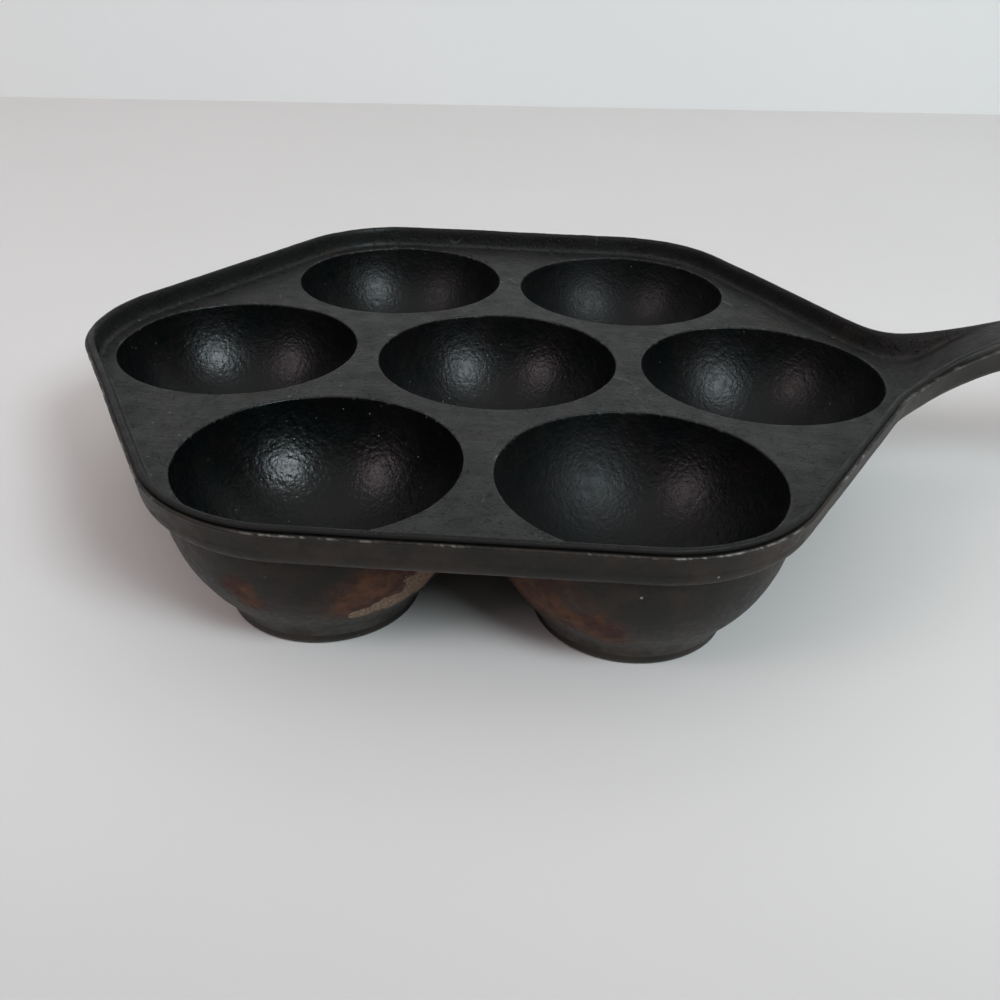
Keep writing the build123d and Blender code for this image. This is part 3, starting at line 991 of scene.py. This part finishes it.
def dress(iron):
    """Dry dark seasoning with faint marks along X, pits, scratches and pale scuffs; returns its bumps."""
    iron.mottle(22.0, (0.0058, 0.0059, 0.0057), (0.0128, 0.0125, 0.0115))
    streak = iron.grains(1.0, 4.0, 0.6, stretch=(0.09, 1.0, 1.0))
    fine = iron.grains(0.65, 3.0, 0.65)
    iron.tint(iron.between(streak, 0.4, 0.7), (0.026, 0.026, 0.024), 0.45)
    iron.tint(iron.between(fine, 0.52, 0.72), (0.034, 0.034, 0.031), 0.5)
    iron.tint(iron.between(fine, 0.48, 0.30), (0.0028, 0.0028, 0.0026), 0.7)
    level_ground = iron.between(iron.grains(1.05, 2.0), 0.66, 0.57)
    iron.base = iron.mixed(level_ground, (0.0025, 0.0025, 0.0022), iron.base)
    brown = iron.between(iron.grains(13.0), 0.56, 0.74)
    iron.tint(brown, (0.020, 0.013, 0.009), 0.4)
    wander = iron.grains(26.0, 1.5, 0.4, 0.4, (1.0, 0.45, 1.0))
    off_line = iron.maths("ABSOLUTE", iron.maths("SUBTRACT", wander, 0.52), 0.0)
    scratch = iron.times(iron.between(off_line, 0.0035, 0.0015), iron.between(iron.grains(9.0), 0.55, 0.62))
    iron.tint(scratch, (0.10, 0.10, 0.09), 0.6)
    scuffs = iron.times(iron.cells(2.8, 0.11, 0.04), iron.between(iron.grains(7.0), 0.53, 0.60))
    iron.tint(scuffs, (0.15, 0.145, 0.12))
    # Painted shade darkens the rim's and handle's inner faces; the dark dirt lies in the pit by the left cup
    iron.stain(wear=(0.10, 0.10, 0.095), soot=(0.0030, 0.0025, 0.0021), grime=(0.0015, 0.0015, 0.0015))
    return [(streak, 0.06, 0.5), (fine, 0.09, 0.7), (level_ground, 0.13, 0.7)]


def deck_material():
    """The dressed surface on its own."""
    iron = Iron("deck_iron", 0.24)
    bumps = dress(iron)
    return iron.finished(iron.scaled(iron.between(iron.grains(6.0, 4.0), 0.3, 0.7), 0.44, 0.60), bumps)


def outer_material(name, dark, light):
    """Fired iron between two tones, with thin orange rust and a tan crust where food ran down."""
    iron = Iron(name, 0.22)
    iron.mottle(14.0, dark, light)
    fine_tone = iron.grains(1.6, 4.0, 0.65)
    iron.tint(iron.between(fine_tone, 0.48, 0.75), (0.030, 0.025, 0.020), 0.5)
    iron.tint(iron.between(fine_tone, 0.46, 0.30), (0.004, 0.0037, 0.0034), 0.5)
    thin_rust = iron.between(iron.grains(7.0, 5.0, 0.7), 0.58, 0.76)
    iron.tint(thin_rust, (0.036, 0.014, 0.008), 0.25)
    spotted = iron.times(iron.mark("rust"), iron.between(iron.grains(2.4, 5.0, 0.7), 0.24, 0.52))
    tone = iron.between(iron.grains(4.0, 4.0), 0.4, 0.62)
    iron.tint(spotted, iron.mixed(tone, (0.042, 0.013, 0.008), (0.092, 0.037, 0.017)), 0.9)
    # Painted shade under the pan between the cups, with soot on the front left cup's belly
    iron.stain(soot=(0.0028, 0.0019, 0.0013))
    ragged = iron.maths("SUBTRACT", iron.grains(0.6, 4.0, 0.7), 0.5)
    crust = iron.between(iron.maths("ADD", iron.mark("crust"), iron.times(ragged, 1.1)), 0.36, 0.66)
    crust = iron.times(crust, iron.between(iron.mark("crust"), 0.02, 0.2))
    tone = iron.between(iron.grains(0.5, 4.0, 0.8), 0.36, 0.60)
    iron.tint(crust, iron.mixed(tone, (0.050, 0.026, 0.018), (0.23, 0.155, 0.105)))
    chips = iron.times(iron.cells(6.5, 0.055, 0.03), iron.between(iron.grains(15.0, 2.0), 0.5, 0.56))
    iron.tint(chips, (0.22, 0.21, 0.19))
    # Painted highlights on the ledges and above the feet, wear on the feet's edges, and painted groove shade
    iron.stain(wear=(0.19, 0.18, 0.165), grime=(0.0015, 0.0013, 0.0012))
    rough = iron.scaled(iron.between(fine_tone, 0.3, 0.7), 0.42, 0.58)
    matt = iron.maths("MAXIMUM", crust, iron.mark("rust"))
    rough = iron.maths("ADD", rough, iron.times(matt, 0.2))
    rough = iron.maths("ADD", rough, iron.times(iron.mark("soot"), 0.3))
    rough = iron.maths("SUBTRACT", rough, iron.times(iron.mark("wear"), 0.14))
    skin = iron.grains(1.0, 3.0, 0.65)
    crust_height = iron.times(crust, iron.grains(0.5, 4.0, 0.65))
    return iron.finished(rough, [(skin, 0.12, 0.6), (crust_height, 0.15, 0.7)])


def handle_material():
    """The dressed surface at the root, turning to handled brown along the grip."""
    iron = Iron("handle_iron", 0.26)
    bumps = dress(iron)
    dressed = iron.base
    iron.mottle(12.0, (0.017, 0.0145, 0.013), (0.028, 0.023, 0.0205))
    red = iron.between(iron.grains(4.0, stretch=(0.25, 1.0, 1.0)), 0.52, 0.7)
    iron.tint(red, (0.040, 0.016, 0.015), 0.55)
    rust = iron.times(iron.mark("rust"), iron.between(iron.grains(2.4, 4.0), 0.35, 0.6))
    iron.tint(rust, (0.055, 0.022, 0.012), 0.4)
    # Painted shade on the handle's inner faces near its root
    iron.stain(wear=(0.09, 0.085, 0.08), soot=(0.0035, 0.0030, 0.0026), grime=(0.0015, 0.0013, 0.0012))
    along = iron.add("SeparateXYZ", {0: iron.coords}).outputs["X"]
    iron.base = iron.mixed(iron.between(along, 0.098, 0.124), dressed, iron.base)
    return iron.finished(iron.scaled(iron.between(iron.grains(6.0, 4.0), 0.3, 0.7), 0.42, 0.58), bumps)


# The pan

bowl_iron = bowl_material()
deck_iron = deck_material()
outer_iron = outer_material("outer_iron", (0.0082, 0.0074, 0.0064), (0.0240, 0.0162, 0.0116))
# Painted light: a lighter copy of the outer iron for the handle's flanks, which stand in the light
lit_flank_iron = outer_material("lit_flank_iron", (0.022, 0.0205, 0.0175), (0.038, 0.033, 0.028))
handle_iron = handle_material()

for cup_name in CUPS:
    make_cup(cup_name, [bowl_iron, deck_iron, outer_iron])
    make_foot(cup_name, outer_iron)
make_deck(deck_iron, outer_iron)
make_rim(deck_iron, outer_iron)
make_handle(handle_iron, lit_flank_iron)


# Table and wall, in metres

TABLE_COLOUR = (0.685, 0.655, 0.64)
WALL_COLOUR = (0.83, 0.82, 0.81)
TABLE_SIZE = 60.0
WALL_SIZE = 6.0
TABLE_DROP = 0.0001
wall_distance = 0.52
wall_turn = radians(7.4)


def plain(name, colour, mottling, front_shade):
    """A pale matt material, darker by one share in faint clouds and by another in front of the pan."""
    made = bpy.data.materials.new(name)
    made.use_nodes = True
    pale = Nodes(made.node_tree)
    shader = pale.tree.nodes["Principled BSDF"]
    cloudy = pale.add("TexNoise", {"Vector": pale.coords, "Scale": 7.0, "Detail": 4.0}).outputs["Fac"]
    # Painted shade: the table darkens in front of the pan, where the lamps light it more
    in_front = pale.between(pale.add("SeparateXYZ", {0: pale.coords}).outputs["Y"], -0.10, -0.17)
    base = pale.mixed(cloudy, tuple(c * (1 - mottling) for c in colour), colour)
    base = pale.mixed(in_front, base, tuple(c * (1 - front_shade) for c in colour))
    pale.tree.links.new(base, shader.inputs["Base Color"])
    shader.inputs["Roughness"].default_value = 0.7
    return made


def flat_sheet(name, size, finish):
    """A level square sheet centred on the origin."""
    mesh = bpy.data.meshes.new(name)
    h = size / 2
    mesh.from_pydata([(-h, -h, 0), (h, -h, 0), (h, h, 0), (-h, h, 0)], [], [(0, 1, 2, 3)])
    mesh.materials.append(finish)
    sheet = linked(name, mesh)
    return sheet


table = flat_sheet("table", TABLE_SIZE, plain("table_finish", TABLE_COLOUR, 0.05, 0.18))
table.location = (0, 0, -TABLE_DROP)
wall = flat_sheet("backdrop", WALL_SIZE, plain("wall_finish", WALL_COLOUR, 0.02, 0.0))
upright = Matrix.Rotation(wall_turn, 4, "Z") @ Matrix.Rotation(pi / 2, 4, "X")
wall.matrix_world = Matrix.Translation((0, wall_distance, 0)) @ upright


# Light

LAMP_DISTANCE = 1.8


def soft_light(name, way, size, power, colour):
    """A square soft light that faces the pan from a direction."""
    data = bpy.data.lights.new(name, "AREA")
    data.shape = "SQUARE"
    data.size = size
    data.energy = power
    data.color = colour
    lamp = linked(name, data)
    place = Vector(way) * LAMP_DISTANCE
    lamp.location = place
    lamp.rotation_euler = (-place).to_track_quat("-Z", "Y").to_euler()


soft_light("window", (0.552, -0.529, 0.631), 0.58, 22.0, (0.82, 0.95, 1.0))
soft_light("warm_fill", (-0.643, -0.469, 0.595), 0.62, 6.9, (1.0, 0.83, 0.86))

# Open sky: dimmer towards the horizon, brighter overhead; seen or mirrored, its lowest part is pale
SKY_COLOUR = (1.0, 1.0, 0.99, 1.0)
SKY_LOW = 0.05
SKY_HIGH = 0.82
SKY_RISE = 0.3
HORIZON = 0.72

world = bpy.data.worlds.new("plain_world")
world.use_nodes = True
sky = Nodes(world.node_tree, "Generated")
height = sky.add("SeparateXYZ", {0: sky.coords}).outputs["Z"]
sky_range = {"Value": height, "From Min": SKY_RISE, "To Min": SKY_LOW, "To Max": SKY_HIGH}
sky_level = sky.add("MapRange", sky_range, interpolation_type="SMOOTHSTEP").outputs["Result"]
path = sky.add("LightPath").outputs
mirrored = sky.maths("MAXIMUM", path["Is Glossy Ray"], path["Is Transmission Ray"])
seen = sky.maths("MAXIMUM", path["Is Camera Ray"], mirrored)
pale_share = sky.times(seen, sky.between(height, 0.14, 0.03))
sky_strength = sky.add("Mix", {0: pale_share, 2: sky_level, 3: HORIZON}).outputs[0]
background = sky.tree.nodes["Background"]
background.inputs["Color"].default_value = SKY_COLOUR
sky.tree.links.new(sky_strength, background.inputs["Strength"])
bpy.context.scene.world = world
bpy.context.scene.view_settings.view_transform = "Standard"


# Camera, placed as in the photograph

camera_place = (0.01307, -0.23094, 0.12877)
camera_yaw, camera_pitch, camera_roll = radians(-2.808), radians(30.812), radians(1.861)
camera_lens = 36.89

ahead = cos(camera_pitch)
forward = Vector((sin(camera_yaw) * ahead, cos(camera_yaw) * ahead, -sin(camera_pitch)))
right = Vector((cos(camera_yaw), -sin(camera_yaw), 0.0))
upward = right.cross(forward)
rolled_right = right * cos(camera_roll) + upward * sin(camera_roll)
rolled_up = upward * cos(camera_roll) - right * sin(camera_roll)
camera_data = bpy.data.cameras.new("photo_camera")
camera_data.lens = camera_lens
camera_data.sensor_width = 36.0
camera_data.clip_start = 0.01
photo_camera = linked("photo_camera", camera_data)
turned_frame = Matrix((rolled_right, rolled_up, -forward)).transposed().to_4x4()
photo_camera.matrix_world = Matrix.Translation(camera_place) @ turned_frame
bpy.context.scene.camera = photo_camera
